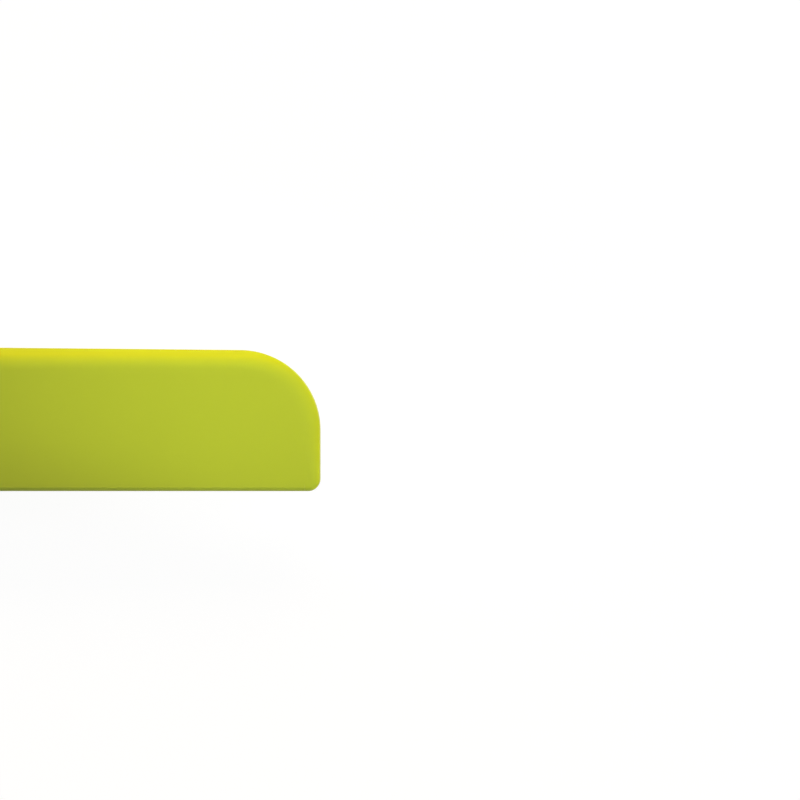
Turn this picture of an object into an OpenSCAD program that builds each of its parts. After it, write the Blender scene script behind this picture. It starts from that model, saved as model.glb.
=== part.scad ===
// Hinged knife blade guard: two moulded halves that fold on a strip along the blade's cutting edge.
// It lies on its rear half. X runs from the closed tip end to the mouth, Y from the cutting edge
// to the blade's back, and Z from the rear face to the front face.

/* [Outline] */
// Length from the closed tip end to the mouth
guard_l = 216; // [150:1:280]
// Height at the mouth end, where the corner arc starts
mouth_h = 44.3; // [38:0.1:56]
// How far the upper edge rises from the mouth end to the tip end
edge_rise = 1.7; // [0:0.1:6]
// Radius of the large upper corner at the mouth
mouth_arc_r = 25.2; // [12:0.1:30]
// Radius of the upper corner at the tip end
tip_arc_r = 12; // [8:0.5:18]
// Radius of the two lower corners
foot_r = 3.6; // [2.6:0.1:5]

/* [Section] */
// Thickness of one half, from its outer face to its inner face
half_t = 3.8; // [3.6:0.1:5]
// Gap between the inner faces of the two halves
slot_w = 5.2; // [5:0.1:8]
// Outer wall of a cover
wall_t = 1.4; // [1.2:0.1:1.6]
// Width of the rim that surrounds a liner
rim_w = 1.6; // [1.4:0.1:2.4]
// Width of the ledge that carries a liner
ledge_w = 2.2; // [1.6:0.1:3]
// Gap between a liner's edge and its rim
liner_gap = 0.1; // [0.05:0.05:0.3]
// Thickness of a liner
liner_t = 1; // [0.9:0.1:1.2]

/* [Edge rounding] */
// Width of the rounding along the upper edge
top_round_w = 6.8; // [3:0.1:8]
// Width of the rounding along the mouth's straight edge
mouth_round_w = 4; // [1.5:0.1:5]
// Width of the rounding along the tip edge
tip_round_w = 4; // [1.5:0.1:5]
// Depth of the rounding along the upper edge
top_round_d = 3.3; // [2:0.1:3.4]
// Depth of the rounding along the mouth and tip edges
end_round_d = 2.7; // [1.5:0.1:3.3]
// Width of the small bevel along the inner face's outer edge, which leads the blade in
lead_in = 0.3; // [0.1:0.05:0.4]

/* [Fold] */
// Thickness of the folding film
film_t = 0.6; // [0.4:0.05:0.8]
// Outer radius of the film where it turns the corner
film_r = 1.3; // [1.2:0.1:1.6]
// Straight length of film beyond each end of its bend
film_tail = 0.7; // [0.6:0.05:1]
// Distance of the fold axis from each of the two outer faces that it joins
fold_axis_in = 0.6; // [0.5:0.05:0.7]
// Radius of the relief round the fold axis
relief_r = 1.6; // [1.5:0.05:1.8]
// Thickness of the fold strip
strip_t = 1.8; // [1.4:0.1:1.9]
// Distance of the fold strip's ends from the ends of the guard
fold_end_in = 4.7; // [4:0.1:12]
// Gap at each end of the fold strip
fold_gap = 0.2; // [0.15:0.05:0.6]
// Radius of the shallow groove that the cutting edge rests in
groove_r = 5; // [3:0.5:10]
// Depth of that groove
groove_d = 0.4; // [0.2:0.05:0.6]

/* [Slot walls] */
// Thickness of the wall that closes the slot round the tip end and along the blade's back
end_wall_t = 1.3; // [1:0.1:1.4]
// Distance of that wall's end from the mouth
back_wall_in = 20; // [14:0.5:60]
// How far the slot walls stand inside the outline of the halves
wall_set_back = 0.2; // [0.1:0.05:0.3]
// Gap between the slot walls and the front half when closed
close_gap = 0.2; // [0.15:0.05:0.4]

/* [Rails] */
// Number of glide rails on each liner
rail_count = 3; // [2:1:5]
// Width of a rail
rail_w = 1.4; // [0.8:0.1:2.5]
// Height of a rail above its liner
rail_h = 0.4; // [0.2:0.05:0.45]
// Distance from the lowest rail to the fold side of the liner
rail_first = 5.5; // [4:0.5:10]
// Distance from the lowest rail to the highest
rail_span = 23; // [14:1:26]
// Distance of the rails' ends from the tip end
rail_tip_in = 12; // [8:0.5:30]
// Distance of the lowest rail's ramp from the mouth
rail_mouth_in = 7; // [5:0.5:20]
// Length of the ramp at each end of a rail
rail_ramp = 4; // [2:0.5:8]

/* [Magnets] */
// Number of magnets in each half
magnet_count = 4; // [2:1:5]
// Length of a magnet
magnet_l = 20; // [10:0.5:25]
// Width of a magnet
magnet_w = 9; // [6:0.5:12]
// Thickness of a magnet
magnet_t = 1.2; // [0.8:0.05:1.3]
// Gap between a magnet and its pocket
magnet_gap = 0.15; // [0.1:0.05:0.4]
// Thickness of the pocket's fence
fence_t = 0.9; // [0.6:0.1:1.5]
// Height of the magnets' centre line above the lower edge
magnet_y = 22; // [18:0.5:26]
// Distance of the outer magnets' centres from the ends of the guard
magnet_end_in = 34; // [28:1:45]

/* [Liner pins] */
// Diameter of a pin that holds a liner
pin_d = 1.8; // [1.4:0.1:2.4]
// Diameter of a pin's flattened head
pin_head_d = 3.2; // [2.6:0.1:4]
// Height of the flattened head
pin_head_t = 0.4; // [0.3:0.05:0.45]
// Depth of the recess that the head lies in
pin_recess_d = 0.5; // [0.45:0.05:0.55]
// Gap round a pin and its head
pin_gap = 0.1; // [0.05:0.05:0.2]
// Diameter of the boss under the liner
boss_d = 4.4; // [3.6:0.1:6]
// Height of the lower row of pins above the lower edge
pin_low = 11; // [9:0.5:13]
// Height of the upper row of pins above the lower edge
pin_high = 34; // [31:0.5:35]
// Distance of the outer columns of pins from the ends of the guard
pin_end_in = 17; // [15:0.5:20]

/* [Ribs] */
// Thickness of a stiffening rib
rib_t = 0.8; // [0.6:0.1:1.2]
// Gap between the ribs and the liner above them
rib_gap = 0.1; // [0.05:0.05:0.3]

/* [Hidden] */

lime = [0.71, 0.77, 0.2];
lime_inside = [0.66, 0.73, 0.2];
nickel = [0.75, 0.75, 0.76];

$fn = 64;
eps = 0.01;

// Facets round a corner, and rings down the rounded edge
corner_steps = 10;
arc_steps = 22;
round_steps = 10;

guard_t = 2 * half_t + slot_w;
tip_h = mouth_h + edge_rise;
left = -guard_l / 2;
right = guard_l / 2;
low = -tip_h / 2;
seat_z = half_t - liner_t;

// The fold side of a half is cut back to this height so that the fold strip fits below it
fold_cut = film_r + film_tail;
fold_start = left + fold_end_in;
fold_end = right - fold_end_in;
strip_start = fold_start + fold_gap;
strip_l = fold_end - fold_start - 2 * fold_gap;
axis_y = low + fold_axis_in;

// Insets of the liner's edge and of the hidden cavity from the outline
liner_inset = rim_w + liner_gap;
cavity_inset = rim_w + ledge_w;

// Places along the guard and across it
magnet_pitch = (guard_l - 2 * magnet_end_in) / (magnet_count - 1);
function magnet_x(i) = left + magnet_end_in + i * magnet_pitch;
inner_pins = [for (i = [0:magnet_count - 2]) magnet_x(i) + magnet_pitch / 2];
pin_columns = concat([left + pin_end_in], inner_pins, [right - pin_end_in]);
pin_places = [for (x = pin_columns, h = [pin_low, pin_high]) [x, low + h]];
rail_pitch = rail_span / (rail_count - 1);

// Round corners of the outline, anticlockwise from the lower tip corner:
// centre, radius, first angle, steps, and the edge rounding before and after each one
top_round = [top_round_w, top_round_d];
mouth_round = [mouth_round_w, end_round_d];
tip_round = [tip_round_w, end_round_d];
foot_round = [film_r, film_r];
corners = [
    [[left + foot_r, low + foot_r], foot_r, 180, corner_steps, tip_round, foot_round],
    [[right - foot_r, low + foot_r], foot_r, 270, corner_steps, foot_round, mouth_round],
    [[right - mouth_arc_r, low + mouth_h - mouth_arc_r], mouth_arc_r, 0, arc_steps, mouth_round, top_round],
    [[left + tip_arc_r, low + tip_h - tip_arc_r], tip_arc_r, 90, corner_steps, top_round, tip_round]
];

// An S-curve from 0 to 1, so that one edge rounding runs smoothly into the next
function ease(t) = t * t * (3 - 2 * t);

// Every point of the outline with its outward direction and its edge rounding
rim_points = [
    for (c = corners, i = [0:c[3]])
        let (t = i / c[3], a = c[2] + 90 * t, out = [cos(a), sin(a)])
            [c[0] + c[1] * out, out, c[4] + (c[5] - c[4]) * ease(t)]
];

// Rings of points up the outside of a half, from its flat outer face to its inner face
function ring(turn) = [
    for (p = rim_points)
        let (at = p[0] - p[1] * p[2][0] * (1 - cos(turn)))
            [at.x, at.y, p[2][1] * (1 - sin(turn))]
];
function flat_ring(inset, z) = [
    for (p = rim_points)
        let (at = p[0] - p[1] * inset)
            [at.x, at.y, z]
];

module half_shell() {
    n = len(rim_points);
    rings = concat(
        [for (k = [round_steps:-1:0]) ring(90 * k / round_steps)],
        [flat_ring(0, half_t - lead_in), flat_ring(lead_in, half_t)]
    );
    last = len(rings) - 1;
    walls = [
        for (k = [0:last - 1], i = [0:n - 1])
            let (j = (i + 1) % n)
                [k * n + i, (k + 1) * n + i, (k + 1) * n + j, k * n + j]
    ];
    outer_face = [for (i = [0:n - 1]) i];
    inner_face = [for (i = [n - 1:-1:0]) last * n + i];
    polyhedron([for (r = rings, p = r) p], concat([outer_face], walls, [inner_face]), convexity = 4);
}

// Takes the square corner off a flat shape, leaving an arc of radius r round the centre.
// sx and sy say which way the corner points.
module corner_off(centre, r, sx, sy) {
    translate(centre)
        difference() {
            translate([sx > 0 ? 0 : -2 * r, sy > 0 ? 0 : -2 * r])
                square(2 * r);
            circle(r);
        }
}

// The outline moved inwards by inset, with its lower side raised by lift as well
module flat_outline(inset, lift = 0) {
    r_foot = max(foot_r - inset, 0.5);
    x0 = left + inset;
    x1 = right - inset;
    y0 = low + inset + lift;
    difference() {
        polygon([
            [x0, y0],
            [x1, y0],
            [x1, low + mouth_h - inset],
            [right - mouth_arc_r, low + mouth_h - inset],
            [left + tip_arc_r, low + tip_h - inset],
            [x0, low + tip_h - inset]
        ]);
        corner_off([x0 + r_foot, y0 + r_foot], r_foot, -1, -1);
        corner_off([x1 - r_foot, y0 + r_foot], r_foot, 1, -1);
        corner_off([right - mouth_arc_r, low + mouth_h - mouth_arc_r], mouth_arc_r - inset, 1, 1);
        corner_off([left + tip_arc_r, low + tip_h - tip_arc_r], tip_arc_r - inset, -1, 1);
    }
}

// A round bar along X, centred on a fold axis
module along_fold(r, from, length, y, z) {
    translate([from, y, z])
        rotate([0, 90, 0])
            cylinder(r = r, h = length);
}

// Room for the fold strip, with the round relief that lets the strip turn past the edge
module fold_room() {
    room_l = fold_end - fold_start;
    translate([fold_start, low - eps, -eps])
        cube([room_l, fold_cut + eps, half_t + 2 * eps]);
    intersection() {
        along_fold(relief_r, fold_start, room_l, axis_y, fold_axis_in);
        translate([fold_start, low, film_t])
            cube([room_l, fold_cut + relief_r, relief_r]);
    }
}

module magnet_fences() {
    inner = [magnet_l + 2 * magnet_gap, magnet_w + 2 * magnet_gap];
    outer = [inner.x + 2 * fence_t, inner.y + 2 * fence_t];
    for (i = [0:magnet_count - 1])
        translate([magnet_x(i), low + magnet_y, wall_t - eps])
            linear_extrude(seat_z - rib_gap - wall_t + eps)
                difference() {
                    square(outer, center = true);
                    square(inner, center = true);
                }
}

// Stiffening ribs under the liner: one across the half at each column of pins
module cover_ribs() {
    intersection() {
        translate([0, 0, wall_t - eps])
            linear_extrude(seat_z - rib_gap - wall_t + eps)
                flat_outline(cavity_inset - eps, fold_cut);
        for (x = pin_columns)
            translate([x - rib_t / 2, low, 0])
                cube([rib_t, tip_h, half_t]);
    }
}

// Bosses that the liner rests on, each with a pin through the liner and a flattened head
module liner_pins() {
    for (p = pin_places)
        translate([p.x, p.y, 0]) {
            translate([0, 0, wall_t - eps])
                cylinder(d = boss_d, h = seat_z - wall_t + eps);
            translate([0, 0, seat_z - eps])
                cylinder(d = pin_d, h = liner_t - pin_recess_d + 2 * eps);
            translate([0, 0, half_t - pin_recess_d])
                cylinder(d = pin_head_d, h = pin_head_t);
        }
}

// One moulded cover, with its outer face down
module cover() {
    difference() {
        half_shell();
        fold_room();
        translate([0, 0, wall_t])
            linear_extrude(half_t)
                flat_outline(cavity_inset, fold_cut);
        translate([0, 0, seat_z])
            linear_extrude(half_t)
                flat_outline(rim_w, fold_cut);
    }
    magnet_fences();
    cover_ribs();
    liner_pins();
}

// Walls that close the slot round the tip end, along the blade's back and under its heel
module slot_walls() {
    wall_inset = wall_set_back + end_wall_t;
    root_z = half_t - lead_in - eps;
    translate([0, 0, root_z])
        linear_extrude(half_t + slot_w - close_gap - root_z) {
            intersection() {
                difference() {
                    flat_outline(wall_set_back);
                    flat_outline(wall_inset);
                }
                union() {
                    translate([left, low])
                        square([fold_end_in - fold_gap, tip_h]);
                    translate([left, low + mouth_h / 2])
                        square([guard_l - back_wall_in, tip_h]);
                }
            }
            intersection() {
                flat_outline(wall_set_back);
                translate([fold_end + fold_gap, low])
                    square([fold_end_in, wall_inset]);
            }
        }
}

// One rail, lying along X on the plane z = 0, with a ramp at each end
module rail(x0, x1) {
    translate([x0, rail_w / 2, 0])
        rotate([90, 0, 0])
            linear_extrude(rail_w)
                polygon([
                    [0, -eps],
                    [x1 - x0, -eps],
                    [x1 - x0 - rail_ramp, rail_h],
                    [rail_ramp, rail_h]
                ]);
}

// How far the outline reaches towards the mouth at a height above its lower edge
function mouth_reach(h) =
    let (up = max(h - (mouth_h - mouth_arc_r), 0))
        right - mouth_arc_r + sqrt(max(mouth_arc_r * mouth_arc_r - up * up, 0));

// The plate that lies in a cover and guides the blade, with its outer side down
module liner() {
    difference() {
        translate([0, 0, seat_z])
            linear_extrude(liner_t)
                flat_outline(liner_inset, fold_cut);
        for (p = pin_places)
            translate([p.x, p.y, 0]) {
                cylinder(d = pin_d + 2 * pin_gap, h = guard_t);
                translate([0, 0, half_t - pin_recess_d])
                    cylinder(d = pin_head_d + 2 * pin_gap, h = guard_t);
            }
    }
    for (i = [0:rail_count - 1]) {
        h = fold_cut + rail_first + i * rail_pitch;
        translate([0, low + h, half_t])
            rail(left + rail_tip_in, mouth_reach(h + rail_w) - rail_mouth_in);
    }
}

module magnet(i) {
    translate([magnet_x(i), low + magnet_y, wall_t + magnet_t / 2])
        cube([magnet_l, magnet_w, magnet_t], center = true);
}

// Places a piece of the rear half as its mirror image in the front half
module in_front() {
    translate([0, 0, guard_t])
        mirror([0, 0, 1])
            children();
}

module rear_cover() {
    color(lime) {
        cover();
        slot_walls();
    }
}

module front_cover() {
    color(lime)
        in_front()
            cover();
}

module rear_liner() {
    color(lime_inside)
        liner();
}

module front_liner() {
    color(lime_inside)
        in_front()
            liner();
}

module rear_magnet(i) {
    color(nickel)
        magnet(i);
}

module front_magnet(i) {
    color(nickel)
        in_front()
            magnet(i);
}

// The strip between the two films. It is the spine of the guard, and the cutting edge rests on it.
module fold_strip() {
    groove_y = low + strip_t - groove_d + groove_r;
    color(lime)
        difference() {
            translate([strip_start, low, fold_cut])
                cube([strip_l, strip_t, guard_t - 2 * fold_cut]);
            along_fold(groove_r, strip_start - eps, strip_l + 2 * eps, groove_y, guard_t / 2);
            for (z = [fold_axis_in, guard_t - fold_axis_in])
                intersection() {
                    along_fold(relief_r, strip_start - eps, strip_l + 2 * eps, axis_y, z);
                    translate([strip_start - eps, low + film_t, 0])
                        cube([strip_l + 2 * eps, strip_t, guard_t]);
                }
        }
}

// The thin film that bends round the corner between a cover and the fold strip
module film() {
    bend = low + film_r;
    color(lime) {
        difference() {
            intersection() {
                along_fold(film_r, strip_start, strip_l, bend, film_r);
                translate([strip_start, low, 0])
                    cube([strip_l, film_r, film_r]);
            }
            along_fold(film_r - film_t, strip_start - eps, strip_l + 2 * eps, bend, film_r);
        }
        translate([strip_start, bend, 0])
            cube([strip_l, film_tail, film_t]);
        translate([strip_start, low, film_r])
            cube([strip_l, film_t, film_tail]);
    }
}

module rear_film() {
    film();
}

module front_film() {
    in_front()
        film();
}

rear_cover();
rear_liner();
fold_strip();
rear_film();
front_film();
front_cover();
front_liner();
for (i = [1:magnet_count]) {
    rear_magnet(i - 1);
    front_magnet(i - 1);
}
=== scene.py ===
"""A hinged knife blade guard in yellow-green moulded plastic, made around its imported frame."""
import math
import bmesh
import bpy
from mathutils import Matrix, Vector


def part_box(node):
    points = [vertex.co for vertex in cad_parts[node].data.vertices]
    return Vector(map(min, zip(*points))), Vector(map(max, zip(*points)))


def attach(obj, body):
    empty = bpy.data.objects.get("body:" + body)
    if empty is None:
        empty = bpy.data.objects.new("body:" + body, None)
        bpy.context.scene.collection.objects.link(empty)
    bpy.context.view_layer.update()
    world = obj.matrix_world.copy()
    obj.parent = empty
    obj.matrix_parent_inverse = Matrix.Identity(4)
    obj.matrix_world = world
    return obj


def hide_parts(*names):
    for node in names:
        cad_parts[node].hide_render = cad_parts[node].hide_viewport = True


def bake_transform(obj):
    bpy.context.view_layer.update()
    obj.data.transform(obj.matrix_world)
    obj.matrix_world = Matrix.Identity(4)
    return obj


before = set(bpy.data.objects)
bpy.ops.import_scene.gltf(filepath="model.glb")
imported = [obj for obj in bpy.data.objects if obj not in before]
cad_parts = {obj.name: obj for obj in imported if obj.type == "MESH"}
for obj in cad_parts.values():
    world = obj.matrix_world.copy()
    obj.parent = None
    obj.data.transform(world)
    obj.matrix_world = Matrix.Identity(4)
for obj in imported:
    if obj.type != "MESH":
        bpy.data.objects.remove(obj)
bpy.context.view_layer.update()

# The covers
# Each half of the guard is one polypropylene moulding with a flat face and a rounded edge. Behind
# it are a seat for the liner, pockets for four magnets, and ribs with bosses for the liner's pins.

MM = 0.001
rear_low, rear_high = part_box("rear_cover")
front_low, front_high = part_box("front_cover")
strip_low, strip_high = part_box("fold_strip")
liner_low, liner_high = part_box("rear_liner")
film_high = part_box("rear_film")[1]

left = rear_low.x
right = rear_high.x
low = rear_low.y
high = rear_high.y
guard_t = front_high.z
half_t = front_high.z - front_low.z
seat_z = liner_low.z

mouth_h = 44.3 * MM
mouth_arc_r = 25.2 * MM
tip_arc_r = 12 * MM
foot_r = 3.6 * MM
wall_t = 1.4 * MM
rim_w = 1.6 * MM
ledge_w = 2.2 * MM

# Each edge is crowned: width and depth of its curve, its steepest slope in degrees, radius at the rim.
# The crown is broad along the upper edge, wider towards the tip, low at both ends and tight at the fold.
top_round = Vector((6.2 * MM, 4.6 * MM, 38, 0.5 * MM))
top_round_at_tip = Vector((8.8 * MM, 5.0 * MM, 40, 0.5 * MM))
mouth_round = Vector((6.2 * MM, 1.35 * MM, 17, 0.4 * MM))
tip_round = Vector((6.2 * MM, 1.35 * MM, 17, 0.4 * MM))
corner_round = Vector((3.2 * MM, 1.2 * MM, 26, 0.5 * MM))
foot_round = Vector((1.3 * MM, 1.3 * MM, 45, 1.3 * MM))
lead_in = 0.3 * MM
crown_steps = 16
rim_steps = 6
side_steps = 12
lead_steps = 4

# The share of each corner's arc, from its first to its last angle, in which the edge's rounding changes
whole_arc = (0.0, 1.0)
upper_half_of_arc = (0.47, 1.0)

# A point this close to a face or a cut counts as on it
touching = 0.01 * MM

# The covers are cut back along the fold, so that the strip and its films fit below them
fold_cut = film_high.y - low
fold_end_in = 4.7 * MM
fold_gap = strip_low.x - left - fold_end_in
fold_start = left + fold_end_in
fold_end = right - fold_end_in
fold_axis_in = 0.6 * MM
film_t = 0.6 * MM
relief_r = 1.6 * MM


def smooth_step(t):
    return t * t * (3 - 2 * t)


def rim_points():
    """Round the outline from the lower tip corner: place, outward direction and edge rounding."""
    # Centre, radius, first angle and steps of each corner, and how its edge's rounding changes
    corners = [
        (left + foot_r, low + foot_r, foot_r, 180, 16,
         corner_round, foot_round, whole_arc),
        (right - foot_r, low + foot_r, foot_r, 270, 16,
         foot_round, corner_round, whole_arc),
        (right - mouth_arc_r, low + mouth_h - mouth_arc_r, mouth_arc_r, 0, 56,
         mouth_round, top_round, upper_half_of_arc),
        (left + tip_arc_r, high - tip_arc_r, tip_arc_r, 90, 32,
         top_round_at_tip, tip_round, whole_arc),
    ]
    rows = []
    for x, y, radius, first, steps, before, after, (begin, end) in corners:
        row = []
        for i in range(steps + 1):
            turn = math.radians(first + 90 * i / steps)
            out = Vector((math.cos(turn), math.sin(turn)))
            share = min(max((i / steps - begin) / (end - begin), 0), 1)
            row.append((Vector((x, y)) + out * radius, out, before.lerp(after, smooth_step(share))))
        rows.append(row)
    points = []
    for row, next_row in zip(rows, rows[1:] + rows[:1]):
        points += row
        at, out, rounding = row[-1]
        next_at, _, next_rounding = next_row[0]
        if rounding == next_rounding:
            continue
        for i in range(1, side_steps):
            share = i / side_steps
            changed = rounding.lerp(next_rounding, smooth_step(share))
            points.append((at.lerp(next_at, share), out, changed))
    return points


def crown(rounding):
    """How far in and how deep a crowned edge runs, from the side's top over the rim to the face."""
    width, depth, steepest, rim_r = rounding
    slope = math.radians(steepest)
    first = math.atan2(depth, width * math.tan(slope))
    slope_in = width * (1 - math.cos(first))
    slope_depth = depth * (1 - math.sin(first))
    rim_r = min(rim_r, slope_in / (1 - math.sin(slope)))
    rim_depth = slope_depth + (slope_in - rim_r * (1 - math.sin(slope))) * math.tan(slope)
    points = []
    for i in range(rim_steps + 1):
        turn = (math.pi / 2 - slope) * i / rim_steps
        below = rim_r * (math.cos(slope) - math.sin(turn))
        points.append((rim_r * (1 - math.cos(turn)), rim_depth + below))
    for i in range(1, crown_steps + 1):
        turn = first + (math.pi / 2 - first) * i / crown_steps
        points.append((width * (1 - math.cos(turn)), depth * (1 - math.sin(turn))))
    return points


def ring(points, places):
    """One ring of the cover's outside, with how far in and how high each of its points lies."""
    return [(*(at - out * inset), z) for (at, out, rounding), (inset, z) in zip(points, places)]


def loft(rings):
    """A closed mesh through rings of equal length, with a flat face at each end."""
    bm = bmesh.new()
    loops = [[bm.verts.new(p) for p in r] for r in rings]
    for below, above in zip(loops, loops[1:]):
        for i in range(len(below)):
            j = (i + 1) % len(below)
            bm.faces.new((below[i], below[j], above[j], above[i]))
    bm.faces.new(list(reversed(loops[0])))
    bm.faces.new(loops[-1])
    bmesh.ops.recalc_face_normals(bm, faces=bm.faces)
    mesh = bpy.data.meshes.new("loft")
    bm.to_mesh(mesh)
    bm.free()
    return mesh


def prism_up(outline, z0, z1):
    """A flat outline of x and y, drawn out from z0 to z1."""
    return loft([[(x, y, z) for x, y in outline] for z in (z0, z1)])


def prism_along(outline, x0, x1):
    """A flat outline of y and z, drawn out from x0 to x1."""
    return loft([[(x, y, z) for y, z in outline] for x in (x0, x1)])


def block(x0, x1, y0, y1, z0, z1):
    return prism_up([(x0, y0), (x1, y0), (x1, y1), (x0, y1)], z0, z1)


def turned(profile, x, y, steps=40):
    """A solid of revolution about an upright axis at x and y. The profile gives radius and height."""
    rings = []
    for radius, z in profile:
        turns = [2 * math.pi * i / steps for i in range(steps)]
        rings.append([(x + radius * math.cos(t), y + radius * math.sin(t), z) for t in turns])
    return loft(rings)


def joined(meshes):
    """Several meshes as one."""
    bm = bmesh.new()
    for mesh in meshes:
        bm.from_mesh(mesh)
    whole = bpy.data.meshes.new("joined")
    bm.to_mesh(whole)
    bm.free()
    return whole


def combine(operation, mesh, tool):
    """The mesh with the tool cut from it or added to it, as DIFFERENCE or UNION says."""
    body = bpy.data.objects.new("body", mesh)
    other = bpy.data.objects.new("tool", tool)
    for piece in (body, other):
        bpy.context.scene.collection.objects.link(piece)
    step = body.modifiers.new("combine", "BOOLEAN")
    step.operation = operation
    step.solver = "EXACT"
    step.object = other
    depsgraph = bpy.context.evaluated_depsgraph_get()
    made = bpy.data.meshes.new_from_object(body.evaluated_get(depsgraph))
    for piece in (body, other):
        bpy.data.objects.remove(piece)
    return made


def soften(mesh, width, steps, chosen):
    """Rounds the sharp outer edges whose middle point is one that chosen picks."""
    sharp_angle = math.radians(40)
    bm = bmesh.new()
    bm.from_mesh(mesh)
    bmesh.ops.dissolve_limit(bm, angle_limit=math.radians(0.1), verts=bm.verts, edges=bm.edges)
    edges = []
    for edge in bm.edges:
        if len(edge.link_faces) != 2 or not edge.is_convex:
            continue
        if edge.calc_face_angle() < sharp_angle:
            continue
        if chosen((edge.verts[0].co + edge.verts[1].co) / 2):
            edges.append(edge)
    bmesh.ops.bevel(bm, geom=edges, offset=width, offset_type="OFFSET", segments=steps,
                    profile=0.5, affect="EDGES", clamp_overlap=True)
    bm.to_mesh(mesh)
    bm.free()
    return mesh


def arc(x, y, radius, first, last, steps):
    turns = [math.radians(first + (last - first) * i / steps) for i in range(steps + 1)]
    return [(x + radius * math.cos(t), y + radius * math.sin(t)) for t in turns]


def inner_outline(inset, lift):
    """The guard's outline moved in by inset, with its lower side raised by lift as well."""
    foot = max(foot_r - inset, 0.5 * MM)
    y0 = low + inset + lift
    points = arc(left + inset + foot, y0 + foot, foot, 180, 270, 6)
    points += arc(right - inset - foot, y0 + foot, foot, 270, 360, 6)
    points += arc(right - mouth_arc_r, low + mouth_h - mouth_arc_r, mouth_arc_r - inset, 0, 90, 48)
    points += arc(left + tip_arc_r, high - tip_arc_r, tip_arc_r - inset, 90, 180, 28)
    return points


def upper_edge(x):
    """Height of the guard's upper edge at x, away from the tip corner."""
    reach = x - (right - mouth_arc_r)
    if reach > 0:
        return low + mouth_h - mouth_arc_r + math.sqrt(mouth_arc_r ** 2 - reach ** 2)
    share = (right - mouth_arc_r - x) / (right - mouth_arc_r - left - tip_arc_r)
    return low + mouth_h + (high - low - mouth_h) * share


def shell():
    """The outside of a half with its liner seat and its hidden cavity, outer face down."""
    points = rim_points()
    crowns = [crown(rounding) for at, out, rounding in points]
    rings = [ring(points, places) for places in reversed(list(zip(*crowns)))]
    for k in range(lead_steps + 1):
        turn = math.radians(90 * k / lead_steps)
        place = (lead_in * (1 - math.cos(turn)), half_t - lead_in * (1 - math.sin(turn)))
        rings.append(ring(points, [place] * len(points)))
    made = loft(rings)
    spare = 1 * MM
    relief_top = math.sqrt(relief_r ** 2 - (fold_cut - fold_axis_in) ** 2)
    relief_turn = math.degrees(math.atan2(relief_top, fold_cut - fold_axis_in))
    room = [(low - spare, -spare), (low + fold_cut, -spare), (low + fold_cut, film_t)]
    room += arc(low + fold_axis_in, fold_axis_in, relief_r, 0, relief_turn, 6)
    room += [(low + fold_cut, half_t + spare), (low - spare, half_t + spare)]
    made = combine("DIFFERENCE", made, prism_along(room, fold_start, fold_end))
    seat = prism_up(inner_outline(rim_w, fold_cut), seat_z, half_t + spare)
    made = combine("DIFFERENCE", made, seat)
    cavity = prism_up(inner_outline(rim_w + ledge_w, fold_cut), wall_t, half_t)
    return combine("DIFFERENCE", made, cavity)


inner_edge_r = 0.14 * MM
cut_edge_r = 0.05 * MM


def at_inner_face(middle):
    return middle.z > half_t - touching


def at_fold_end(middle):
    return min(abs(middle.x - fold_start), abs(middle.x - fold_end)) < touching


magnet_boxes = [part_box(f"rear_magnet_{i}") for i in range(1, 5)]
magnet_places = [(a + b) / 2 for a, b in magnet_boxes]
magnet_size = magnet_boxes[0][1] - magnet_boxes[0][0]
magnet_gap = 0.15 * MM
fence_t = 0.9 * MM
rib_t = 0.8 * MM
rib_gap = 0.1 * MM
rib_top = seat_z - rib_gap
pin_low = low + 11 * MM
pin_high = low + 34 * MM
pin_end_in = 17 * MM
boss_r = 2.2 * MM
boss_edge = 0.1 * MM
pin_r = 0.9 * MM
head_r = 1.6 * MM
head_edge = 0.08 * MM
head_steps = 8
head_low = half_t - 0.5 * MM
head_high = half_t - 0.1 * MM
between_magnets = [(a.x + b.x) / 2 for a, b in zip(magnet_places, magnet_places[1:])]
pin_columns = [left + pin_end_in, *between_magnets, right - pin_end_in]
pin_places = [(x, y) for x in pin_columns for y in (pin_low, pin_high)]

# How far ribs, fences, bosses and rails reach into the plastic that they stand on
sunk = 0.2 * MM


def fence(place):
    """A box without a floor or lid, which keeps one magnet in its place."""
    inner = magnet_size / 2 + Vector((magnet_gap, magnet_gap, 0))
    outer = inner + Vector((fence_t, fence_t, 0))
    solid = block(place.x - outer.x, place.x + outer.x, place.y - outer.y, place.y + outer.y,
                  wall_t - sunk, rib_top)
    hole = block(place.x - inner.x, place.x + inner.x, place.y - inner.y, place.y + inner.y,
                 wall_t - 2 * sunk, rib_top + sunk)
    return combine("DIFFERENCE", solid, hole)


def rib(x):
    foot_y = low + fold_cut + rim_w + ledge_w - sunk
    top_y = upper_edge(x) - rim_w - ledge_w + sunk
    return block(x - rib_t / 2, x + rib_t / 2, foot_y, top_y, wall_t - sunk, rib_top)


def liner_pin(x, y):
    """A boss that the liner rests on, and a pin through the liner with its head melted flat."""
    profile = [(0.02 * MM, wall_t - sunk), (boss_r, wall_t - sunk), (boss_r, seat_z - boss_edge),
               (boss_r - boss_edge, seat_z), (pin_r, seat_z), (pin_r, head_low),
               (head_r - 0.05 * MM, head_low), (head_r, head_low + head_edge)]
    dome = head_high - head_low - head_edge
    for k in range(1, head_steps + 1):
        turn = math.radians(90 * k / (head_steps + 0.5))
        height = head_low + head_edge + dome * math.sin(turn)
        profile.append((head_r * math.cos(turn) ** 0.6, height))
    return turned(profile, x, y)


def half_cover():
    """A whole half without its outer walls, its outer face down."""
    made = soften(shell(), inner_edge_r, 3, at_inner_face)
    made = soften(made, cut_edge_r, 2, at_fold_end)
    made = combine("UNION", made, joined([fence(place) for place in magnet_places]))
    made = combine("UNION", made, joined([rib(x) for x in pin_columns]))
    return combine("UNION", made, joined([liner_pin(x, y) for x, y in pin_places]))


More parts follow.
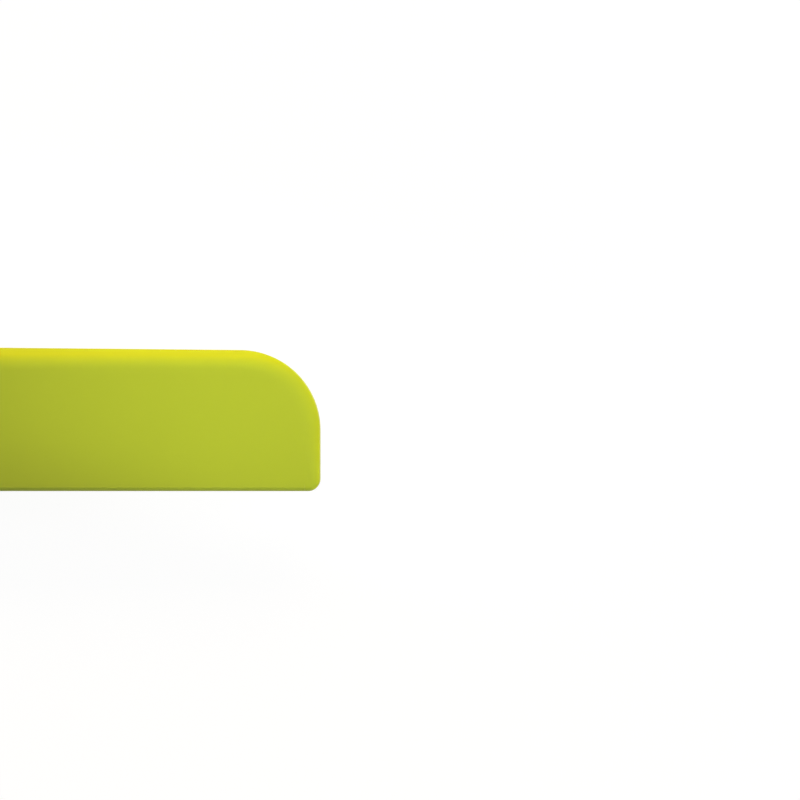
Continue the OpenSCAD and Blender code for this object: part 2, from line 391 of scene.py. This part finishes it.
wall_set_back = 0.2 * MM
wall_edge_r = 0.18 * MM
wall_sunk = 0.05 * MM
end_wall_t = 1.3 * MM
wall_top = rear_high.z
back_wall_in = 20 * MM


def wall_side(inset):
    """One side of the wall round the tip end and along the blade's back, from the fold to its end."""
    points = [(fold_start - fold_gap, low + inset)]
    points += arc(left + foot_r, low + foot_r, foot_r - inset, 270, 180, 12)
    points += arc(left + tip_arc_r, high - tip_arc_r, tip_arc_r - inset, 180, 90, 32)
    radius = mouth_arc_r - inset
    last = math.degrees(math.acos((mouth_arc_r - back_wall_in) / radius))
    return points + arc(right - mouth_arc_r, low + mouth_h - mouth_arc_r, radius, 90, last, 8)


def slot_walls():
    """The wall round the tip end and along the blade's back, and the short floor under its heel."""
    near, far = wall_set_back, wall_set_back + end_wall_t
    heel = [(fold_end + fold_gap, low + near)]
    heel_arc = arc(right - foot_r, low + foot_r, foot_r - near, 270, 360, 24)
    heel += [p for p in heel_arc if p[1] < low + far]
    last = math.sqrt((foot_r - near) ** 2 - (foot_r - far) ** 2)
    heel += [(right - foot_r + last, low + far), (fold_end + fold_gap, low + far)]
    root = half_t - lead_in - wall_sunk
    around = wall_side(near) + wall_side(far)[::-1]
    walls = joined([prism_up(around, root, wall_top), prism_up(heel, root, wall_top)])
    return soften(walls, wall_edge_r, 3, lambda middle: middle.z > root + touching)


def to_front(mesh):
    """A rear piece's mesh as its mirror image in the front half."""
    made = mesh.copy()
    made.transform(Matrix.Translation((0, 0, guard_t)) @ Matrix.Scale(-1, 4, (0, 0, 1)))
    made.flip_normals()
    return made


def finished(name, mesh, material):
    """An object with smooth faces, sharp edges where it turns, and one material."""
    mesh.name = name
    mesh.materials.clear()
    mesh.materials.append(material)
    mesh.shade_smooth()
    mesh.set_sharp_from_angle(angle=math.radians(35))
    made = bpy.data.objects.new(name, mesh)
    bpy.context.scene.collection.objects.link(made)
    flat = made.modifiers.new("even shading", "WEIGHTED_NORMAL")
    flat.keep_sharp = True
    return made


def group_of(name, inputs, outputs):
    """An empty shader node group with named sockets. Returns it with its input and output nodes."""
    group = bpy.data.node_groups.new(name, "ShaderNodeTree")
    for label, value in inputs.items():
        socket = group.interface.new_socket(label, in_out="INPUT", socket_type="NodeSocketFloat")
        socket.default_value = value
    for label in outputs:
        group.interface.new_socket(label, in_out="OUTPUT", socket_type="NodeSocketFloat")
    return group, group.nodes.new("NodeGroupInput"), group.nodes.new("NodeGroupOutput")


def node(tree, kind, inputs=None, **settings):
    """Adds a node, sets its options, and sets or links its inputs."""
    made = tree.nodes.new(kind)
    for key, value in settings.items():
        setattr(made, key, value)
    for key, value in (inputs or {}).items():
        if isinstance(value, bpy.types.NodeSocket):
            tree.links.new(value, made.inputs[key])
        else:
            made.inputs[key].default_value = value
    return made


def spark_grain():
    """The fine eroded texture of the mould, as a height from 0 to 1."""
    group, given, result = group_of("spark grain", {"Grains per metre": 5000}, ["Height"])
    place = node(group, "ShaderNodeTexCoord").outputs["Object"]
    pits = node(group, "ShaderNodeTexVoronoi", {"Vector": place, "Scale": given.outputs[0]},
                feature="SMOOTH_F1")
    cloud = node(group, "ShaderNodeTexNoise", {"Vector": place, "Scale": given.outputs[0],
                                               "Detail": 3.0, "Roughness": 0.6})
    both = node(group, "ShaderNodeMath", {0: pits.outputs["Distance"], 1: cloud.outputs["Fac"]},
                operation="MULTIPLY")
    group.links.new(both.outputs[0], result.inputs["Height"])
    return group


def handling_marks():
    """Faint long scratches from sliding in and out of a drawer, as a mask."""
    group, given, result = group_of("handling marks", {"Amount": 0.5}, ["Mask"])
    place = node(group, "ShaderNodeTexCoord").outputs["Object"]
    masks = []
    for angle, seed in ((6, 1.3), (-17, 4.1), (68, 8.7)):
        turned_to = node(group, "ShaderNodeMapping", {"Vector": place, "Location": (seed, seed, 0),
                                                      "Rotation": (0, 0, math.radians(angle)),
                                                      "Scale": (40, 2600, 400)})
        lines = node(group, "ShaderNodeTexNoise", {"Vector": turned_to.outputs[0], "Scale": 1.0,
                                                   "Detail": 2.0})
        thin = node(group, "ShaderNodeMapRange", {"Value": lines.outputs["Fac"], "From Min": 0.68,
                                                  "From Max": 0.76})
        masks.append(thin.outputs[0])
    first = node(group, "ShaderNodeMath", {0: masks[0], 1: masks[1]}, operation="MAXIMUM")
    every = node(group, "ShaderNodeMath", {0: first.outputs[0], 1: masks[2]}, operation="MAXIMUM")
    worn = node(group, "ShaderNodeMath", {0: every.outputs[0], 1: given.outputs["Amount"]},
                operation="MULTIPLY")
    group.links.new(worn.outputs[0], result.inputs["Mask"])
    return group


grain = spark_grain()
marks = handling_marks()


def moulded_plastic(name, colour, deep_colour, roughness, grain_size, grain_depth, wear):
    """Satin polypropylene with soft drifts of colour, warmer on edges and sides as a painted highlight,
    grain and marks.
    """
    face_depth = 0.05 * MM
    painted_highlight_depth = 1.3 * MM
    material = bpy.data.materials.new(name)
    material.use_nodes = True
    tree = material.node_tree
    surface = tree.nodes["Principled BSDF"]
    place = node(tree, "ShaderNodeTexCoord").outputs["Object"]
    drift = node(tree, "ShaderNodeTexNoise", {"Vector": place, "Scale": 28.0, "Detail": 4.0})
    drift_mask = node(tree, "ShaderNodeMapRange", {"Value": drift.outputs["Fac"], "From Min": 0.3,
                                                   "From Max": 0.7})
    base = node(tree, "ShaderNodeMix", {"Factor": drift_mask.outputs[0]}, data_type="RGBA")
    base.inputs["A"].default_value = (*colour, 1)
    base.inputs["B"].default_value = (*deep_colour, 1)
    # Painted highlight: from the outer faces inwards the colour turns warmer, fully from 1.3 mm in, so
    # that the crowned edges and sides carry the yellow of a lit edge.
    height = node(tree, "ShaderNodeSeparateXYZ", {"Vector": place}).outputs["Z"]
    from_middle = node(tree, "ShaderNodeMath", {0: height, 1: guard_t / 2}, operation="SUBTRACT")
    off_middle = node(tree, "ShaderNodeMath", {0: from_middle.outputs[0]}, operation="ABSOLUTE")
    painted_highlight_mask = node(tree, "ShaderNodeMapRange", {"Value": off_middle.outputs[0],
                                                 "From Min": guard_t / 2 - face_depth,
                                                 "From Max": guard_t / 2 - painted_highlight_depth})
    warm = node(tree, "ShaderNodeMix", {"Factor": painted_highlight_mask.outputs[0]}, data_type="RGBA")
    tree.links.new(base.outputs["Result"], warm.inputs["A"])
    # The painted highlight's colour: red raised and blue taken out.
    warm.inputs["B"].default_value = (colour[0] * 1.12, colour[1], 0, 1)
    texture = node(tree, "ShaderNodeGroup", node_tree=grain)
    texture.inputs["Grains per metre"].default_value = grain_size
    scuffs = node(tree, "ShaderNodeGroup", node_tree=marks)
    scuffs.inputs["Amount"].default_value = wear
    paler = node(tree, "ShaderNodeMix", {"Factor": scuffs.outputs["Mask"]}, data_type="RGBA")
    tree.links.new(warm.outputs["Result"], paler.inputs["A"])
    pale = [min(1, c * 1.12 + 0.02) for c in colour]
    paler.inputs["B"].default_value = (*pale, 1)
    tree.links.new(paler.outputs["Result"], surface.inputs["Base Color"])
    rough = node(tree, "ShaderNodeMapRange", {"Value": texture.outputs["Height"],
                                              "To Min": roughness - 0.04,
                                              "To Max": roughness + 0.1})
    rougher = node(tree, "ShaderNodeMath", {0: rough.outputs[0], 1: scuffs.outputs["Mask"]},
                   operation="ADD")
    tree.links.new(rougher.outputs[0], surface.inputs["Roughness"])
    sink = node(tree, "ShaderNodeTexNoise", {"Vector": place, "Scale": 70.0, "Detail": 1.0})
    wavy = node(tree, "ShaderNodeBump", {"Height": sink.outputs["Fac"], "Strength": 1.0,
                                         "Distance": 0.02 * MM})
    grainy = node(tree, "ShaderNodeBump", {"Height": texture.outputs["Height"], "Strength": 1.0,
                                           "Distance": grain_depth, "Normal": wavy.outputs[0]})
    tree.links.new(grainy.outputs[0], surface.inputs["Normal"])
    surface.inputs["IOR"].default_value = 1.49
    surface.inputs["Specular IOR Level"].default_value = 0.4
    surface.inputs["Subsurface Weight"].default_value = 0.12
    surface.inputs["Subsurface Radius"].default_value = (1.0, 1.0, 0.25)
    surface.inputs["Subsurface Scale"].default_value = 1.2 * MM
    return material


lime = (0.411, 0.505, 0.022)
lime_deep = (0.401, 0.494, 0.021)
cover_plastic = moulded_plastic("lime polypropylene", lime, lime_deep, 0.42, 5000, 0.010 * MM, 0.10)

half = half_cover()
rear_cover = finished("rear_cover_moulding", combine("UNION", half.copy(), slot_walls()), cover_plastic)
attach(rear_cover, "rear_half")
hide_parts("rear_cover")

front_cover = finished("front_cover_moulding", to_front(half), cover_plastic)
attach(front_cover, "front_half")
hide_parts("front_cover")

# The fold strip
# A flat bar between the two films, moulded in one with them and the covers. Its inner face has a
# shallow groove that the cutting edge rests in.

groove_r = 5 * MM
groove_d = 0.4 * MM
edge_r = 0.15 * MM

# Half of the hairline that shows where the strip and its films end at a cover
slit = 0.04 * MM


def fold_profile():
    """The strip's section as y and z, with small roundings on its inner corners."""
    z0, z1 = strip_low.z, strip_high.z
    inner_y = strip_high.y
    relief = math.sqrt(relief_r ** 2 - (z0 - fold_axis_in) ** 2)
    first = math.degrees(math.atan2(z0 - fold_axis_in, relief))
    below = arc(low + fold_axis_in, fold_axis_in, relief_r, 90, first, 6)
    above = [(y, z0 + z1 - z) for y, z in reversed(below)]
    groove_y = inner_y - groove_d + groove_r
    half_way = math.degrees(math.acos(1 - groove_d / groove_r))
    groove = arc(groove_y, (z0 + z1) / 2, groove_r, 180 + half_way, 180 - half_way, 16)
    lower_corner = arc(inner_y - edge_r, z0 + edge_r, edge_r, 270, 360, 4)
    upper_corner = [(y, z0 + z1 - z) for y, z in reversed(lower_corner)]
    foot = [(low, z0), (low + film_t, z0)]
    head = [(low + film_t, z1), (low, z1)]
    return foot + below + lower_corner + groove + upper_corner + above + head


strip_mesh = prism_along(fold_profile(), fold_start + slit, fold_end - slit)
fold_strip = finished("fold_strip_moulding", strip_mesh, cover_plastic)
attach(fold_strip, "strip")
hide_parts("fold_strip")

# The films
# Two thin webs that bend each time the guard opens, the thinnest place of the polypropylene moulding.
# Bending has drawn the plastic smooth, so less of the mould's grain shows on them than on the covers.

film_r = 1.3 * MM
film_waist = 0.12 * MM
film_steps = 28


def film_section():
    """Rows across the film, from the cover round the bend to the strip: outer point, inner point."""
    bend_y, bend_z = low + film_r, film_r
    rows = [((film_high.y, 0), (film_high.y, film_t))]
    for i in range(film_steps + 1):
        turn = math.radians(90 * i / film_steps)
        thick = film_t - film_waist * math.sin(2 * turn) ** 2
        out = (-math.sin(turn), -math.cos(turn))
        outer = (bend_y + out[0] * film_r, bend_z + out[1] * film_r)
        inner = (outer[0] - out[0] * thick, outer[1] - out[1] * thick)
        rows.append((outer, inner))
    rows.append(((low, film_high.z), (low + film_t, film_high.z)))
    return rows


def film_mesh():
    rows = film_section()
    outline = [outer for outer, inner in rows] + [inner for outer, inner in reversed(rows)]
    return prism_along(outline, fold_start + slit, fold_end - slit)


film_plastic = moulded_plastic("flexed polypropylene", lime, lime_deep, 0.38, 5000, 0.006 * MM, 0.05)

rear_film = finished("rear_film_web", film_mesh(), film_plastic)
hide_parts("rear_film")
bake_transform(rear_film)

front_film = finished("front_film_web", to_front(film_mesh()), film_plastic)
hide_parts("front_film")
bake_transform(front_film)

# The liners
# A thin moulded plate in each cover, with three rails that the blade glides between. Pins from the
# cover come through its holes and are melted over to hold it.

liner_gap = 0.1 * MM
liner_top = half_t
rail_w = 1.4 * MM
rail_h = liner_high.z - liner_top
rail_first = 5.5 * MM
rail_pitch = 11.5 * MM
rail_tip_in = 12 * MM
rail_mouth_in = 7 * MM
rail_ramp = 4 * MM
rail_edge_r = 0.2 * MM
pin_gap = 0.1 * MM
plate_edge_r = 0.2 * MM
hole_edge = 0.12 * MM


def mouth_reach(h):
    """How far the outline reaches towards the mouth at a height above its lower edge."""
    up = max(h - (mouth_h - mouth_arc_r), 0)
    return right - mouth_arc_r + math.sqrt(mouth_arc_r ** 2 - up ** 2)


def rail(x0, x1, y):
    """A rail with a rounded back, which runs down to the plate at both ends."""
    rings = []
    ramp_steps = 10
    shares = [k / ramp_steps for k in range(ramp_steps + 1)]
    stations = [(x0 + rail_ramp * s, smooth_step(s)) for s in shares]
    stations += [(x1 - rail_ramp * s, smooth_step(s)) for s in reversed(shares)]
    for x, rise in stations:
        top = liner_top + rail_h * rise
        # The rounding shrinks with the rail where it runs down, and never quite to nothing
        soft = min(rail_edge_r, 0.9 * rail_h * rise + 0.001 * MM)
        section = [(y - rail_w / 2, liner_top - sunk), (y + rail_w / 2, liner_top - sunk)]
        section += arc(y + rail_w / 2 - soft, top - soft, soft, 0, 90, 4)
        section += arc(y - rail_w / 2 + soft, top - soft, soft, 90, 180, 4)
        rings.append([(x, a, b) for a, b in section])
    return loft(rings)


def pin_hole(x, y):
    """The hole in a liner for one pin, wider at its top for the pin's head."""
    spare = 0.5 * MM
    narrow = pin_r + pin_gap
    wide = head_r + pin_gap
    widest = wide + hole_edge
    profile = [(narrow, seat_z - spare), (narrow, head_low), (wide, head_low),
               (wide, liner_top - hole_edge), (widest, liner_top), (widest, liner_top + spare)]
    return turned(profile, x, y)


def liner_plate():
    made = prism_up(inner_outline(rim_w + liner_gap, fold_cut), seat_z, liner_top)
    made = soften(made, plate_edge_r, 3, lambda middle: middle.z > liner_top - touching)
    made = combine("DIFFERENCE", made, joined([pin_hole(x, y) for x, y in pin_places]))
    rails = []
    for i in range(3):
        h = fold_cut + rail_first + i * rail_pitch
        rails.append(rail(left + rail_tip_in, mouth_reach(h + rail_w) - rail_mouth_in, low + h))
    return combine("UNION", made, joined(rails))


liner_plastic = moulded_plastic("liner polypropylene", (0.386, 0.47, 0.022), (0.376, 0.455, 0.021), 0.5,
                                3600, 0.014 * MM, 0.3)

liner = liner_plate()
rear_liner = finished("rear_liner_plate", liner.copy(), liner_plastic)
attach(rear_liner, "rear_half")
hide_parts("rear_liner")

front_liner = finished("front_liner_plate", to_front(liner), liner_plastic)
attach(front_liner, "front_half")
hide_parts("front_liner")

# The magnets
# Eight flat sintered magnets with nickel plating, four in each half. Each lies loose in its pocket
# between the cover and the liner, and those in the two halves pull the guard shut on the blade.


def nickel_plate():
    material = bpy.data.materials.new("nickel plate")
    material.use_nodes = True
    tree = material.node_tree
    surface = tree.nodes["Principled BSDF"]
    surface.inputs["Metallic"].default_value = 1.0
    place = node(tree, "ShaderNodeTexCoord").outputs["Object"]
    clouds = node(tree, "ShaderNodeTexNoise", {"Vector": place, "Scale": 350.0, "Detail": 5.0})
    tone = node(tree, "ShaderNodeMix", {"Factor": clouds.outputs["Fac"]}, data_type="RGBA")
    tone.inputs["A"].default_value = (0.60, 0.59, 0.57, 1)
    tone.inputs["B"].default_value = (0.70, 0.69, 0.66, 1)
    tree.links.new(tone.outputs["Result"], surface.inputs["Base Color"])
    shine = node(tree, "ShaderNodeMapRange", {"Value": clouds.outputs["Fac"], "To Min": 0.16,
                                              "To Max": 0.34})
    tree.links.new(shine.outputs[0], surface.inputs["Roughness"])
    texture = node(tree, "ShaderNodeGroup", node_tree=grain)
    texture.inputs["Grains per metre"].default_value = 9000
    bump = node(tree, "ShaderNodeBump", {"Height": texture.outputs["Height"], "Distance": 0.002 * MM})
    tree.links.new(bump.outputs[0], surface.inputs["Normal"])
    return material


magnet_edge_r = 0.25 * MM
nickel = nickel_plate()
for half_name in ("rear", "front"):
    for i in range(1, 5):
        name = f"{half_name}_magnet_{i}"
        a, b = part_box(name)
        mesh = soften(block(a.x, b.x, a.y, b.y, a.z, b.z), magnet_edge_r, 4, lambda middle: True)
        magnet = finished(f"{half_name}_magnet_block_{i}", mesh, nickel)
        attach(magnet, f"{half_name}_half")
        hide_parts(name)

# The table and the light
# The guard lies on a white table and is seen from straight above. A long warm lamp stands beyond its
# upper edge, a small one off its mouth, and an oval pool of light falls from above in a white room.


def white_for_the_camera(tree, shadeless, lit):
    """Mixes two shaders so that a camera, a reflection or a clear thing sees the shadeless one."""
    path = node(tree, "ShaderNodeLightPath").outputs
    seen = node(tree, "ShaderNodeMath", {0: path["Is Camera Ray"], 1: path["Is Glossy Ray"]},
                operation="MAXIMUM")
    seen = node(tree, "ShaderNodeMath", {0: seen.outputs[0], 1: path["Is Transmission Ray"]},
                operation="MAXIMUM")
    mixed = node(tree, "ShaderNodeMixShader", {"Fac": seen.outputs[0], 1: lit, 2: shadeless})
    return mixed.outputs[0]


def table_white():
    material = bpy.data.materials.new("white table")
    material.use_nodes = True
    tree = material.node_tree
    tree.nodes.clear()
    paint = node(tree, "ShaderNodeBsdfDiffuse", {"Color": (0.8, 0.8, 0.8, 1)}).outputs[0]
    shadow_catch = node(tree, "ShaderNodeBsdfDiffuse", {"Color": (0.12, 0.12, 0.12, 1)}).outputs[0]
    glow = node(tree, "ShaderNodeEmission", {"Color": (1, 1, 1, 1), "Strength": 0.93}).outputs[0]
    bright = node(tree, "ShaderNodeAddShader", {0: shadow_catch, 1: glow}).outputs[0]
    out = node(tree, "ShaderNodeOutputMaterial")
    tree.links.new(white_for_the_camera(tree, bright, paint), out.inputs["Surface"])
    return material


table_size = 4.0
table_drop = 0.05 * MM
table = bpy.data.objects.new("table", bpy.data.meshes.new("table"))
table_corners = [(x, y, -table_drop) for x, y in ((-1, -1), (1, -1), (1, 1), (-1, 1))]
table.data.from_pydata(table_corners, [], [(0, 1, 2, 3)])
table.data.transform(Matrix.Diagonal((table_size, table_size, 1, 1)))
table.data.materials.append(table_white())
bpy.context.scene.collection.objects.link(table)

world = bpy.data.worlds.new("white room")
world.use_nodes = True
world_tree = world.node_tree
world_tree.nodes.clear()
room = node(world_tree, "ShaderNodeBackground", {"Color": (1, 1, 1, 1), "Strength": 0.31}).outputs[0]
backdrop = node(world_tree, "ShaderNodeBackground", {"Color": (1, 1, 1, 1), "Strength": 0.98}).outputs[0]
world_out = node(world_tree, "ShaderNodeOutputWorld")
world_tree.links.new(white_for_the_camera(world_tree, backdrop, room), world_out.inputs["Surface"])
bpy.context.scene.world = world


def soft_lamp(name, place, aim, width, depth, watts, colour):
    data = bpy.data.lights.new(name, "AREA")
    data.shape = "RECTANGLE"
    data.size = width
    data.size_y = depth
    data.energy = watts
    data.color = colour
    lamp = bpy.data.objects.new(name, data)
    lamp.location = place
    lamp.rotation_euler = (Vector(aim) - Vector(place)).to_track_quat("-Z", "Y").to_euler()
    lamp.visible_camera = False
    lamp.visible_glossy = False
    bpy.context.scene.collection.objects.link(lamp)


soft_lamp("long warm lamp", (0.05, 1.0, 0.28), (0.05, 0, 0), 1.2, 0.3, 13.4, (1.0, 0.75, 0.36))
soft_lamp("side lamp", (1.1, 0.1, 0.3), (0.1, 0, 0), 0.5, 0.3, 5.5, (1.0, 1.0, 0.95))

# A spotlight straight above, scaled so that its pool is an oval, and turned to lie along the face
pool_data = bpy.data.lights.new("pool of light", "SPOT")
pool_data.energy = 23.45
pool_data.spot_size = math.radians(80)
pool_data.spot_blend = 1.0
pool_data.shadow_soft_size = 0.05
pool = bpy.data.objects.new("pool of light", pool_data)
pool.location = (0.0821, 0.0136, 0.6)
pool.rotation_euler = (0, 0, math.radians(-16.6))
pool.scale = (0.2717, 0.0357, 1)
pool.visible_camera = False
pool.visible_glossy = False
bpy.context.scene.collection.objects.link(pool)

# The photograph's frame: its middle in the guard's plane, and the width that it takes in
pixel = 0.3133 * MM
view_width = 800 * pixel
past_mouth = 25.13 * MM
above_fold = 28.58 * MM
view_middle = Vector((right + past_mouth, low + above_fold, guard_t))
camera_data = bpy.data.cameras.new("camera")
camera_data.lens = 180
camera_data.sensor_width = 36
camera = bpy.data.objects.new("camera", camera_data)
view_distance = view_width * camera_data.lens / camera_data.sensor_width
camera.location = view_middle + Vector((0, 0, view_distance))
bpy.context.scene.collection.objects.link(camera)
bpy.context.scene.camera = camera
bpy.context.scene.view_settings.view_transform = "Standard"
